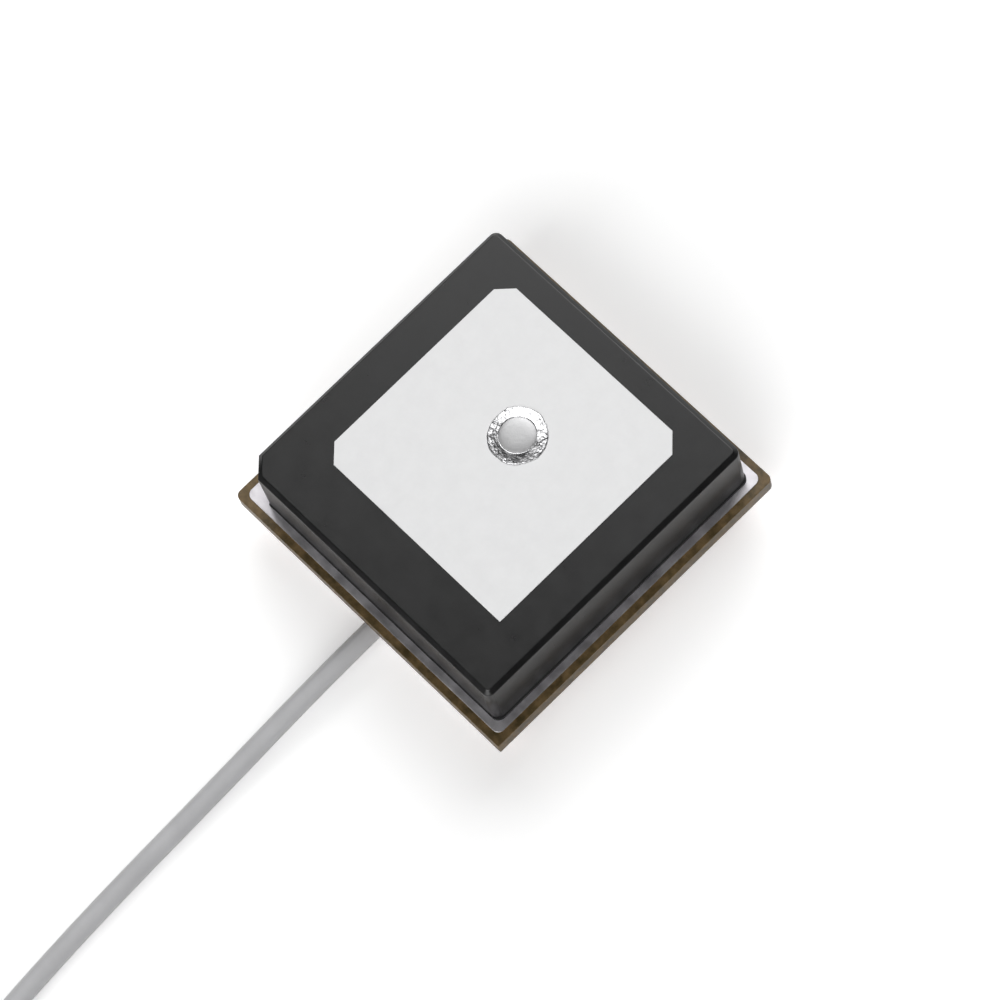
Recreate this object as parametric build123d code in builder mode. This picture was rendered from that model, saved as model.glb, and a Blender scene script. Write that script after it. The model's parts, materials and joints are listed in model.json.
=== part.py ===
from build123d import *
import os
from math import atan2, cos, degrees, hypot, pi, radians, sin, tan

os.makedirs("parts", exist_ok=True)

# A satellite-navigation receiving head: a ceramic patch on a small amplifier board,
# with a soldered shield can underneath and a thin coaxial pigtail with a push-on plug.
# Frame: +Z towards the sky, Z = 0 on the underside of the shield can, X and Y centred
# on the board, and the pigtail leaves from the middle of the -Y edge. Millimetres.

# ---------------------------------------------------------------- general clearances
seat_gap = 0.01          # between a round piece and the bore that it is soldered into
joint_gap = 0.02         # between a crimped or cast piece and what it grips

# ---------------------------------------------------------------- circuit board
board_size = 20.0
board_thickness = 1.0
board_corner_radius = 0.35
board_sharp_corner_radius = 0.08      # the nearly square corner at +X, -Y
copper_thickness = 0.05
plane_margin = 0.425                  # bare laminate round the tinned top plane
plane_corner_radius = 0.4
pour_margin = 0.4                     # bare laminate round the copper underneath
mask_thickness = 0.05
via_radius = 0.19
via_bore_radius = 0.12
via_pitch = 3.5
vias_per_side = 5

# ---------------------------------------------------------------- ceramic patch
ceramic_size = 18.2
ceramic_height = 4.0
ceramic_edge_chamfer = 0.25
ceramic_corner_radius = 0.45
ceramic_key_chamfer = 0.95            # flat at the corner at -X, -Y
electrode_size = 13.3
electrode_offset_y = 0.8
electrode_thickness = 0.05
electrode_cut_back_left = 0.83        # tuning cuts, one leg of each
electrode_cut_back_right = 0.92
electrode_cut_front_left = 0.90
base_electrode_margin = 0.35
tape_overhang = 0.05                  # how far the tape shows past the ceramic
tape_thickness = 0.15
ground_relief_radius = 1.5            # clear ring round the feed pin below the ceramic

# ---------------------------------------------------------------- feed pin and its solder
pin_x = 0.1
pin_y = 1.8
pin_radius = 0.45
pin_bore_clearance = 0.06
pin_head_radius = 1.025
pin_head_rim = 0.12                   # straight side of the head, below its dome
pin_head_height = 0.36
pin_tip_length = 0.6                  # how far the pin stands out below the copper
solder_ring_radius = 1.67
solder_ring_height = 0.16
solder_ring_edge = 0.05
feed_pad_radius = 0.95
feed_solder_height = 0.42
feed_solder_tip_radius = 0.56

# ---------------------------------------------------------------- shield can
can_inset = 1.2                       # from the board's edge to the can's outside
can_height = 2.2
can_sheet = 0.2
can_corner_radius = 0.6
can_edge_radius = 0.15
can_slit_width = 0.25
can_slit_depth = 1.3
tack_length = 2.0                     # solder tacks along the foot of the can
tack_leg = 0.4
tack_offset = 5.0

# ---------------------------------------------------------------- coaxial cable
cable_diameter = 1.13
cable_x = 0.1
cable_board_gap = 0.05
cable_notch_clearance = 0.12
floor_gap = 0.01
braid_radius = 0.45
insulation_radius = 0.34
core_radius = 0.12
jacket_end = 1.2                      # inside the can's wall
braid_length = 1.2
bare_insulation_length = 0.7
bare_core_length = 1.1
braid_solder_width = 1.7
braid_solder_length = 0.8
core_solder_width = 0.8
core_solder_length = 0.7
core_pad_width = 0.9
core_pad_length = 1.2

# ---------------------------------------------------------------- coil and plug
coil_mean_radius = 6.2
coil_turns = 1.25
coil_slack = 0.03                     # round the strands, in the coil's closed outline
coil_stub = 4.2                       # straight cable from the ring to its cut face
plug_axis_height = 1.0
plug_radius = 1.3
plug_wall = 0.2
plug_height = 1.6
plug_roof = 0.15
plug_slot_width = 0.8
plug_slot_sill = 0.6
plug_socket_radius = 0.36
plug_socket_bore_radius = 0.25
plug_socket_lift = 0.1
crimp_wall = 0.15
crimp_seam = 0.12
jacket_crimp_length = 1.2
jacket_crimp_end_gap = 0.2
braid_crimp_length = 0.5
plug_braid_length = 0.9
plug_jacket_reach = 2.2               # from the plug's centre to the end of the jacket
plug_strip_width = 0.7
plug_strip_thickness = 0.17

# ---------------------------------------------------------------- parts on the board
track_width = 0.4
track_gap = 0.2
mask_window_margin = 0.15
small_chip = (1.0, 0.5)               # length and width of the small two-ended parts
small_chip_end = 0.25
capacitor_height = 0.5
resistor_height = 0.35
inductor_height = 0.45
bead_size = (1.6, 0.8, 0.7)
bead_end = 0.35
clamp_size = (1.0, 0.6, 0.45)
chip_lift = 0.03                      # from the copper up to a chip's own body
amplifier_size = 1.5
amplifier_height = 0.6
lead_length = 0.25
lead_width = 0.3
lead_thickness = 0.1
lead_pitch = 0.5
filter_size = 3.0
filter_height = 0.9
filter_lid_size = 2.6
filter_lid_thickness = 0.1

# ---------------------------------------------------------------- worked-out levels
z_copper_bottom = can_height
z_board_bottom = z_copper_bottom + copper_thickness
z_board_top = z_board_bottom + board_thickness
z_plane_top = z_board_top + copper_thickness
z_tape_top = z_plane_top + tape_thickness
z_ceramic_bottom = z_tape_top + electrode_thickness
z_ceramic_top = z_ceramic_bottom + ceramic_height
z_electrode_top = z_ceramic_top + electrode_thickness
z_pin_tip = z_copper_bottom - pin_tip_length
z_cable = can_height - cable_board_gap - cable_diameter / 2
z_cable_lying = floor_gap + cable_diameter / 2
z_cable_crossing = z_cable_lying + cable_diameter + floor_gap
z_chip_body = z_copper_bottom - chip_lift

can_size = board_size - 2 * can_inset
can_inner_size = can_size - 2 * can_sheet
plane_size = board_size - 2 * plane_margin
pour_size = board_size - 2 * pour_margin
pin_bore_radius = pin_radius + pin_bore_clearance
y_jacket_end = -can_inner_size / 2 + jacket_end
y_braid_end = y_jacket_end + braid_length
y_insulation_end = y_braid_end + bare_insulation_length
y_core_end = y_insulation_end + bare_core_length
y_core_pad = y_core_end - core_pad_length / 3

# ---------------------------------------------------------------- board layout
# Two-ended parts: centre X, centre Y and turn in degrees, from the feed to the cable.
capacitors_at = [(-2.8, pin_y, 0), (-7.6, -0.6, 90), (-0.75, -3.2, 0), (4.9, 1.5, 0),
                 (4.9, 3.5, 0), (-3.0, 6.35, 90), (2.0, 6.35, 90)]
resistors_at = [(-5.3, 4.4, 90), (3.1, -3.2, 0)]
inductors_at = [(-2.4, -1.3, 90), (1.6, -3.2, 0), (-1.6, 2.7, 90)]
bead_at = (4.2, -1.1, 90)
clamp_at = (1.6, y_core_pad, 0)
amplifiers_at = [(-5.3, pin_y), (-2.4, -3.2)]
filter_at = (-5.4, -3.2)

# Tracks: straight runs between the parts' ends, each with its own two end points.
tracks = [
    ((pin_x, pin_y), (-2.3, pin_y)),
    ((-1.6, pin_y), (-1.6, 2.3)),
    ((-3.3, pin_y), (-4.4, pin_y)),
    ((-6.2, pin_y), (-7.6, pin_y)),
    ((-7.6, pin_y), (-7.6, -0.2)),
    ((-7.6, -1.0), (-7.6, -3.2)),
    ((-7.6, -3.2), (-6.9, -3.2)),
    ((-3.9, -3.2), (-3.3, -3.2)),
    ((-1.5, -3.2), (-1.2, -3.2)),
    ((-0.3, -3.2), (1.2, -3.2)),
    ((cable_x, -3.2), (cable_x, y_core_pad)),
    ((cable_x, y_core_pad), (1.2, y_core_pad)),
    ((2.0, -3.2), (2.7, -3.2)),
    ((3.5, -3.2), (4.2, -3.2)),
    ((4.2, -3.2), (4.2, -1.8)),
    ((4.2, -0.4), (4.2, 5.6)),
    ((4.2, 5.6), (-5.3, 5.6)),
    ((-5.3, 5.6), (-5.3, 4.8)),
    ((-5.3, 4.0), (-5.3, 2.7)),
    ((-2.4, -2.3), (-2.4, -1.7)),
    ((-2.4, -0.9), (-2.4, -0.2)),
    ((-2.4, -0.2), (4.2, -0.2)),
    ((4.2, 1.5), (4.5, 1.5)),
    ((4.2, 3.5), (4.5, 3.5)),
    ((-3.0, 5.6), (-3.0, 5.95)),
    ((2.0, 5.6), (2.0, 5.95)),
]

via_offsets = [via_pitch * (i - (vias_per_side - 1) / 2) for i in range(vias_per_side)]
via_line = (can_size - can_sheet) / 2
via_places = [(side * via_line, offset) for side in (-1, 1) for offset in via_offsets]
via_places += [(offset, side * via_line) for side in (-1, 1) for offset in via_offsets]


def chip_locations(places, level):
    """Locations on the board's underside, at one level, for a list of (x, y, turn)."""
    return [Location((x, y, level), (0, 0, turn)) for x, y, turn in places]


def end_locations(places, length, end, level):
    """Locations of both metal ends of every two-ended part in places."""
    reach = (length - end) / 2
    found = []
    for x, y, turn in places:
        for side in (-1, 1):
            shift = (side * reach * cos(radians(turn)), side * reach * sin(radians(turn)))
            found.append(Location((x + shift[0], y + shift[1], level), (0, 0, turn)))
    return found


def draw_tracks(grow, mode):
    """Adds the tracks and the two round and square pads to the open sketch, grown by grow."""
    for (x0, y0), (x1, y1) in tracks:
        length = hypot(x1 - x0, y1 - y0) + track_width + 2 * grow
        turn = degrees(atan2(y1 - y0, x1 - x0))
        with Locations(Location(((x0 + x1) / 2, (y0 + y1) / 2, 0), (0, 0, turn))):
            Rectangle(length, track_width + 2 * grow, mode=mode)
    with Locations((pin_x, pin_y)):
        Circle(feed_pad_radius + grow, mode=mode)
    with Locations((cable_x, y_core_pad)):
        Rectangle(core_pad_width + 2 * grow, core_pad_length + 2 * grow, mode=mode)


below = (Align.CENTER, Align.CENTER, Align.MAX)
above = (Align.CENTER, Align.CENTER, Align.MIN)

# ---------------------------------------------------------------- circuit board
with BuildPart() as circuit_board:
    with BuildSketch(Plane.XY.offset(z_board_bottom)):
        Rectangle(board_size, board_size)
    extrude(amount=board_thickness)
    corners = circuit_board.edges().filter_by(Axis.Z)
    scored_corner = corners.sort_by(lambda edge: edge.center().X - edge.center().Y)[-1]
    fillet([edge for edge in corners if edge != scored_corner], board_corner_radius)
    scored_corner = circuit_board.edges().filter_by(Axis.Z).sort_by(
        lambda edge: edge.center().X - edge.center().Y)[-1]
    fillet(scored_corner, board_sharp_corner_radius)
    with Locations((pin_x, pin_y, z_board_top)):
        Hole(pin_bore_radius)
    with Locations(*[(x, y, z_board_top) for x, y in via_places]):
        Hole(via_radius + seat_gap)
circuit_board.part.label = "circuit_board"
export_step(circuit_board.part, "parts/circuit_board.step")

with BuildPart() as ground_vias:
    with BuildSketch(Plane.XY.offset(z_board_bottom)):
        with Locations(*via_places):
            Circle(via_radius)
            Circle(via_bore_radius, mode=Mode.SUBTRACT)
    extrude(amount=board_thickness)
ground_vias.part.label = "ground_vias"
export_step(ground_vias.part, "parts/ground_vias.step")

with BuildPart() as tinned_plane:
    with BuildSketch(Plane.XY.offset(z_board_top)):
        RectangleRounded(plane_size, plane_size, plane_corner_radius)
        with Locations((pin_x, pin_y)):
            Circle(ground_relief_radius, mode=Mode.SUBTRACT)
    extrude(amount=copper_thickness)
tinned_plane.part.label = "tinned_plane"
export_step(tinned_plane.part, "parts/tinned_plane.step")

with BuildPart() as underside_ground:
    with BuildSketch(Plane.XY.offset(z_copper_bottom)):
        RectangleRounded(pour_size, pour_size, plane_corner_radius)
        draw_tracks(track_gap, Mode.SUBTRACT)
    extrude(amount=copper_thickness)
underside_ground.part.label = "underside_ground"
export_step(underside_ground.part, "parts/underside_ground.step")

with BuildPart() as signal_tracks:
    with BuildSketch(Plane.XY.offset(z_copper_bottom)):
        draw_tracks(0, Mode.ADD)
        with Locations((pin_x, pin_y)):
            Circle(pin_bore_radius, mode=Mode.SUBTRACT)
    extrude(amount=copper_thickness)
signal_tracks.part.label = "signal_tracks"
export_step(signal_tracks.part, "parts/signal_tracks.step")

with BuildPart() as solder_mask:
    window = 2 * mask_window_margin
    with BuildSketch(Plane.XY.offset(z_copper_bottom - mask_thickness)):
        Rectangle(can_inner_size - window, can_inner_size - window)
        with Locations(*chip_locations(capacitors_at + resistors_at + inductors_at, 0)):
            Rectangle(small_chip[0] + window, small_chip[1] + window, mode=Mode.SUBTRACT)
        with Locations(*chip_locations([bead_at], 0)):
            Rectangle(bead_size[0] + window, bead_size[1] + window, mode=Mode.SUBTRACT)
        with Locations(*chip_locations([clamp_at], 0)):
            Rectangle(clamp_size[0] + window, clamp_size[1] + window, mode=Mode.SUBTRACT)
        with Locations(*amplifiers_at):
            amplifier_window = amplifier_size + 2 * lead_length + window
            Rectangle(amplifier_window, amplifier_size + window, mode=Mode.SUBTRACT)
        with Locations(filter_at):
            Rectangle(filter_size + window, filter_size + window, mode=Mode.SUBTRACT)
        with Locations((pin_x, pin_y)):
            Circle(feed_pad_radius, mode=Mode.SUBTRACT)
        with Locations((cable_x, -can_inner_size / 2)):
            Rectangle(braid_solder_width + window, 2 * (y_core_end + can_inner_size / 2),
                      mode=Mode.SUBTRACT)
    extrude(amount=mask_thickness)
solder_mask.part.label = "solder_mask"
export_step(solder_mask.part, "parts/solder_mask.step")

# ---------------------------------------------------------------- ceramic patch
with BuildPart() as ceramic_block:
    with BuildSketch(Plane.XY.offset(z_ceramic_bottom)):
        Rectangle(ceramic_size, ceramic_size)
    extrude(amount=ceramic_height)
    corners = ceramic_block.edges().filter_by(Axis.Z)
    key_corner = corners.sort_by(lambda edge: edge.center().X + edge.center().Y)[0]
    fillet([edge for edge in corners if edge != key_corner], ceramic_corner_radius)
    key_corner = ceramic_block.edges().filter_by(Axis.Z).sort_by(
        lambda edge: edge.center().X + edge.center().Y)[0]
    chamfer(key_corner, ceramic_key_chamfer)
    chamfer(ceramic_block.faces().sort_by(Axis.Z)[-1].edges(), ceramic_edge_chamfer)
    with Locations((pin_x, pin_y, z_ceramic_top)):
        Hole(pin_bore_radius)
ceramic_block.part.label = "ceramic_block"
export_step(ceramic_block.part, "parts/ceramic_block.step")

with BuildPart() as top_electrode:
    half = electrode_size / 2
    cut_bl = electrode_cut_back_left
    cut_br = electrode_cut_back_right
    cut_fl = electrode_cut_front_left
    with BuildSketch(Plane.XY.offset(z_ceramic_top)):
        with Locations((0, electrode_offset_y)):
            Polygon((half, -half), (half, half - cut_br), (half - cut_br, half),
                    (cut_bl - half, half), (-half, half - cut_bl), (-half, cut_fl - half),
                    (cut_fl - half, -half), align=None)
        with Locations((pin_x, pin_y)):
            Circle(pin_bore_radius, mode=Mode.SUBTRACT)
    extrude(amount=electrode_thickness)
top_electrode.part.label = "top_electrode"
export_step(top_electrode.part, "parts/top_electrode.step")

with BuildPart() as base_electrode:
    with BuildSketch(Plane.XY.offset(z_tape_top)):
        base_electrode_size = ceramic_size - 2 * base_electrode_margin
        RectangleRounded(base_electrode_size, base_electrode_size, ceramic_corner_radius)
        with Locations((pin_x, pin_y)):
            Circle(ground_relief_radius, mode=Mode.SUBTRACT)
    extrude(amount=electrode_thickness)
    key_face = Plane(origin=(-base_electrode_size / 2, -base_electrode_size / 2, z_tape_top),
                     z_dir=(1, 1, 0)).offset(ceramic_key_chamfer / 2 ** 0.5)
    split(bisect_by=key_face, keep=Keep.TOP)
base_electrode.part.label = "base_electrode"
export_step(base_electrode.part, "parts/base_electrode.step")

with BuildPart() as adhesive_tape:
    with BuildSketch(Plane.XY.offset(z_plane_top)):
        tape_size = ceramic_size + 2 * tape_overhang
        RectangleRounded(tape_size, tape_size, ceramic_corner_radius)
        with Locations((pin_x, pin_y)):
            Circle(ground_relief_radius, mode=Mode.SUBTRACT)
    extrude(amount=tape_thickness)
    key_face = Plane(origin=(-tape_size / 2, -tape_size / 2, z_plane_top),
                     z_dir=(1, 1, 0)).offset(ceramic_key_chamfer / 2 ** 0.5)
    split(bisect_by=key_face, keep=Keep.TOP)
adhesive_tape.part.label = "adhesive_tape"
export_step(adhesive_tape.part, "parts/adhesive_tape.step")

# ---------------------------------------------------------------- feed pin and its solder
with BuildPart() as feed_pin:
    with BuildSketch(Plane.XY.offset(z_pin_tip)):
        with Locations((pin_x, pin_y)):
            Circle(pin_radius)
    extrude(amount=z_electrode_top - z_pin_tip)
    chamfer(feed_pin.faces().sort_by(Axis.Z)[0].edges(), pin_radius / 4)
    with BuildSketch(Plane(origin=(pin_x, pin_y, z_electrode_top), x_dir=(1, 0, 0),
                           z_dir=(0, -1, 0))):
        with BuildLine():
            Polyline((0, pin_head_height), (0, 0), (pin_head_radius, 0),
                     (pin_head_radius, pin_head_rim))
            dome_rise = pin_head_height - pin_head_rim
            dome_radius = (pin_head_radius ** 2 + dome_rise ** 2) / (2 * dome_rise)
            RadiusArc((pin_head_radius, pin_head_rim), (0, pin_head_height), -dome_radius)
        make_face()
    revolve(axis=Axis((pin_x, pin_y, 0), (0, 0, 1)))
feed_pin.part.label = "feed_pin"
export_step(feed_pin.part, "parts/feed_pin.step")

with BuildPart() as pin_head_solder:
    with BuildSketch(Plane(origin=(pin_x, pin_y, z_electrode_top), x_dir=(1, 0, 0),
                           z_dir=(0, -1, 0))):
        inner = pin_head_radius + seat_gap
        with BuildLine():
            Polyline((inner, solder_ring_height), (inner, 0), (solder_ring_radius, 0),
                     (solder_ring_radius, solder_ring_edge), (inner, solder_ring_height))
        make_face()
    revolve(axis=Axis((pin_x, pin_y, 0), (0, 0, 1)))
pin_head_solder.part.label = "pin_head_solder"
export_step(pin_head_solder.part, "parts/pin_head_solder.step")

with BuildPart() as pin_tip_solder:
    with BuildSketch(Plane(origin=(pin_x, pin_y, z_copper_bottom), x_dir=(1, 0, 0),
                           z_dir=(0, -1, 0))):
        inner = pin_radius + seat_gap
        with BuildLine():
            Polyline((inner, 0), (feed_pad_radius, 0),
                     (feed_solder_tip_radius, -feed_solder_height),
                     (inner, -feed_solder_height), (inner, 0))
        make_face()
    revolve(axis=Axis((pin_x, pin_y, 0), (0, 0, 1)))
pin_tip_solder.part.label = "pin_tip_solder"
export_step(pin_tip_solder.part, "parts/pin_tip_solder.step")

# ---------------------------------------------------------------- shield can
with BuildPart() as shield_can:
    with BuildSketch(Plane.XY):
        RectangleRounded(can_size, can_size, can_corner_radius)
    extrude(amount=can_height)
    fillet(shield_can.faces().sort_by(Axis.Z)[0].edges(), can_edge_radius)
    with BuildSketch(Plane.XY.offset(can_sheet)):
        RectangleRounded(can_inner_size, can_inner_size, can_corner_radius - can_sheet)
    extrude(amount=can_height, mode=Mode.SUBTRACT)
    notch_radius = cable_diameter / 2 + cable_notch_clearance
    with BuildSketch(Plane.XZ.offset(can_inner_size / 2 - can_sheet)):
        with Locations((cable_x, z_cable)):
            Circle(notch_radius)
            Rectangle(2 * notch_radius, can_height, align=(Align.CENTER, Align.MIN))
    extrude(amount=3 * can_sheet, mode=Mode.SUBTRACT)
    corner = can_size / 2 - can_corner_radius / 2
    slits = [Location((sx * corner, sy * corner, can_height), (0, 0, 45 * sx * sy))
             for sx in (-1, 1) for sy in (-1, 1)]
    with Locations(*slits):
        Box(4 * can_corner_radius, can_slit_width, 2 * can_slit_depth, mode=Mode.SUBTRACT)
shield_can.part.label = "shield_can"
export_step(shield_can.part, "parts/shield_can.step")

with BuildPart() as can_solder:
    for turn in (0, 90, 180, 270):
        along = Vector(cos(radians(turn)), sin(radians(turn)), 0)
        out = Vector(sin(radians(turn)), -cos(radians(turn)), 0)
        for side in (-1, 1):
            start = out * (can_size / 2) + along * (side * tack_offset - tack_length / 2)
            with BuildSketch(Plane(origin=(start.X, start.Y, z_copper_bottom), x_dir=out,
                                   z_dir=along)):
                with BuildLine():
                    Polyline((0, 0), (tack_leg, 0), (0, tack_leg), (0, 0))
                make_face()
            extrude(amount=tack_length)
can_solder.part.label = "can_solder"
export_step(can_solder.part, "parts/can_solder.step")

# ---------------------------------------------------------------- parts on the board
with BuildPart() as capacitors:
    with Locations(*chip_locations(capacitors_at, z_chip_body)):
        Box(small_chip[0] - 2 * small_chip_end, small_chip[1], capacitor_height - 2 * chip_lift,
            align=below)
capacitors.part.label = "capacitors"
export_step(capacitors.part, "parts/capacitors.step")

with BuildPart() as capacitor_ends:
    with Locations(*end_locations(capacitors_at, small_chip[0], small_chip_end,
                                  z_copper_bottom)):
        Box(small_chip_end, small_chip[1], capacitor_height, align=below)
capacitor_ends.part.label = "capacitor_ends"
export_step(capacitor_ends.part, "parts/capacitor_ends.step")

with BuildPart() as resistors:
    with Locations(*chip_locations(resistors_at, z_chip_body)):
        Box(small_chip[0] - 2 * small_chip_end, small_chip[1], resistor_height - 2 * chip_lift,
            align=below)
resistors.part.label = "resistors"
export_step(resistors.part, "parts/resistors.step")

with BuildPart() as resistor_ends:
    with Locations(*end_locations(resistors_at, small_chip[0], small_chip_end,
                                  z_copper_bottom)):
        Box(small_chip_end, small_chip[1], resistor_height, align=below)
resistor_ends.part.label = "resistor_ends"
export_step(resistor_ends.part, "parts/resistor_ends.step")

with BuildPart() as inductors:
    with Locations(*chip_locations(inductors_at, z_chip_body)):
        Box(small_chip[0] - 2 * small_chip_end, small_chip[1], inductor_height - 2 * chip_lift,
            align=below)
inductors.part.label = "inductors"
export_step(inductors.part, "parts/inductors.step")

with BuildPart() as inductor_ends:
    with Locations(*end_locations(inductors_at, small_chip[0], small_chip_end,
                                  z_copper_bottom)):
        Box(small_chip_end, small_chip[1], inductor_height, align=below)
inductor_ends.part.label = "inductor_ends"
export_step(inductor_ends.part, "parts/inductor_ends.step")

with BuildPart() as ferrite_bead:
    with Locations(*chip_locations([bead_at], z_chip_body)):
        Box(bead_size[0] - 2 * bead_end, bead_size[1], bead_size[2] - 2 * chip_lift,
            align=below)
ferrite_bead.part.label = "ferrite_bead"
export_step(ferrite_bead.part, "parts/ferrite_bead.step")

with BuildPart() as bead_ends:
    with Locations(*end_locations([bead_at], bead_size[0], bead_end, z_copper_bottom)):
        Box(bead_end, bead_size[1], bead_size[2], align=below)
bead_ends.part.label = "bead_ends"
export_step(bead_ends.part, "parts/bead_ends.step")

with BuildPart() as surge_clamp:
    with Locations(*chip_locations([clamp_at], z_chip_body)):
        Box(clamp_size[0] - 2 * small_chip_end, clamp_size[1], clamp_size[2], align=below)
surge_clamp.part.label = "surge_clamp"
export_step(surge_clamp.part, "parts/surge_clamp.step")

with BuildPart() as surge_clamp_leads:
    with Locations(*end_locations([clamp_at], clamp_size[0], small_chip_end,
                                  z_copper_bottom)):
        Box(small_chip_end, lead_width, lead_thickness, align=below)
surge_clamp_leads.part.label = "surge_clamp_leads"
export_step(surge_clamp_leads.part, "parts/surge_clamp_leads.step")


def lead_locations(place):
    """Locations of an amplifier's six leads, three on each side."""
    reach = (amplifier_size + lead_length) / 2
    return [(place[0] + side * reach, place[1] + row * lead_pitch, z_copper_bottom)
            for side in (-1, 1) for row in (-1, 0, 1)]


with BuildPart() as input_amplifier:
    with Locations((*amplifiers_at[0], z_chip_body)):
        Box(amplifier_size, amplifier_size, amplifier_height, align=below)
    chamfer(input_amplifier.faces().sort_by(Axis.Z)[0].edges(), lead_thickness)
input_amplifier.part.label = "input_amplifier"
export_step(input_amplifier.part, "parts/input_amplifier.step")

with BuildPart() as output_amplifier:
    with Locations((*amplifiers_at[1], z_chip_body)):
        Box(amplifier_size, amplifier_size, amplifier_height, align=below)
    chamfer(output_amplifier.faces().sort_by(Axis.Z)[0].edges(), lead_thickness)
output_amplifier.part.label = "output_amplifier"
export_step(output_amplifier.part, "parts/output_amplifier.step")

with BuildPart() as amplifier_leads:
    with Locations(*lead_locations(amplifiers_at[0]), *lead_locations(amplifiers_at[1])):
        Box(lead_length, lead_width, lead_thickness, align=below)
amplifier_leads.part.label = "amplifier_leads"
export_step(amplifier_leads.part, "parts/amplifier_leads.step")

with BuildPart() as band_filter:
    with Locations((*filter_at, z_copper_bottom)):
        Box(filter_size, filter_size, filter_height, align=below)
band_filter.part.label = "band_filter"
export_step(band_filter.part, "parts/band_filter.step")

with BuildPart() as band_filter_lid:
    with Locations((*filter_at, z_copper_bottom - filter_height)):
        Box(filter_lid_size, filter_lid_size, filter_lid_thickness, align=below)
band_filter_lid.part.label = "band_filter_lid"
export_step(band_filter_lid.part, "parts/band_filter_lid.step")

# ---------------------------------------------------------------- cable end on the board
with BuildPart() as cable_core:
    with BuildSketch(Plane.XZ.offset(-y_core_end)):
        with Locations((cable_x, z_cable)):
            Circle(core_radius)
    extrude(amount=y_core_end - y_jacket_end)
cable_core.part.label = "cable_core"
export_step(cable_core.part, "parts/cable_core.step")

with BuildPart() as cable_insulation:
    with BuildSketch(Plane.XZ.offset(-y_insulation_end)):
        with Locations((cable_x, z_cable)):
            Circle(insulation_radius)
            Circle(core_radius + seat_gap, mode=Mode.SUBTRACT)
    extrude(amount=y_insulation_end - y_jacket_end)
cable_insulation.part.label = "cable_insulation"
export_step(cable_insulation.part, "parts/cable_insulation.step")

with BuildPart() as cable_braid:
    with BuildSketch(Plane.XZ.offset(-y_braid_end)):
        with Locations((cable_x, z_cable)):
            Circle(braid_radius)
            Circle(insulation_radius + seat_gap, mode=Mode.SUBTRACT)
    extrude(amount=y_braid_end - y_jacket_end)
cable_braid.part.label = "cable_braid"
export_step(cable_braid.part, "parts/cable_braid.step")


def draw_saddle(width, grip_radius):
    """Adds the section of a solder saddle, from the copper to below the wire it grips."""
    drop = z_copper_bottom - z_cable + grip_radius + 2 * core_radius
    with Locations((cable_x, z_copper_bottom)):
        Polygon((-width / 2, 0), (width / 2, 0), (width / 3, -drop), (-width / 3, -drop),
                align=None)
    with Locations((cable_x, z_cable)):
        Circle(grip_radius + joint_gap, mode=Mode.SUBTRACT)


with BuildPart() as braid_solder:
    y_braid_solder = y_braid_end - (braid_length - braid_solder_length) / 2
    with BuildSketch(Plane.XZ.offset(-y_braid_solder)):
        draw_saddle(braid_solder_width, braid_radius)
    extrude(amount=braid_solder_length)
braid_solder.part.label = "braid_solder"
export_step(braid_solder.part, "parts/braid_solder.step")

with BuildPart() as core_solder:
    y_core_solder = y_core_end - (bare_core_length - core_solder_length) / 3
    with BuildSketch(Plane.XZ.offset(-y_core_solder)):
        draw_saddle(core_solder_width, core_radius)
    extrude(amount=core_solder_length)
core_solder.part.label = "core_solder"
export_step(core_solder.part, "parts/core_solder.step")


# ---------------------------------------------------------------- free cable
def bend_radii(points):
    """The largest smooth radius at each inner point: 0.45 of the shorter run beside it."""
    radii = []
    for before, point, after in zip(points, points[1:], points[2:]):
        run_in = Vector(*point) - Vector(*before)
        run_out = Vector(*after) - Vector(*point)
        half_turn = radians(run_in.get_angle(run_out)) / 2
        radii.append(0.45 * min(run_in.length, run_out.length) / tan(half_turn))
    return radii


y_exit = -board_size / 2
cable_points = [
    (cable_x, y_jacket_end, z_cable),
    (cable_x, y_exit - 2.8, z_cable),
    (cable_x + 0.06, y_exit - 11.5, z_cable_lying + 0.12),
    (cable_x + 0.35, y_exit - 21.8, z_cable_lying),
    (cable_x + 1.25, y_exit - 31.8, z_cable_lying),
]

with BuildPart() as antenna_cable:
    with BuildLine() as cable_path:
        FilletPolyline(*cable_points, radius=bend_radii(cable_points))
    with BuildSketch(Plane(origin=cable_path.line @ 0, z_dir=cable_path.line % 0)):
        Circle(cable_diameter / 2)
    sweep(path=cable_path.line)
antenna_cable.part.label = "antenna_cable"
export_step(antenna_cable.part, "parts/antenna_cable.step")

# ---------------------------------------------------------------- coil
arrive = (Vector(*cable_points[-1]) - Vector(*cable_points[-2])).normalized()
arrive_angle = atan2(arrive.Y, arrive.X)
ring_entry = Vector(*cable_points[-1]) + arrive * coil_stub
coil_x = ring_entry.X - coil_mean_radius * sin(arrive_angle)
coil_y = ring_entry.Y + coil_mean_radius * cos(arrive_angle)
leave_angle = arrive_angle + 2 * pi * coil_turns
leave = Vector(cos(leave_angle), sin(leave_angle), 0)
ring_exit = Vector(coil_x + coil_mean_radius * sin(leave_angle),
                   coil_y - coil_mean_radius * cos(leave_angle), z_cable_crossing)
coil_height = z_cable_crossing + cable_diameter / 2 + floor_gap

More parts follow.
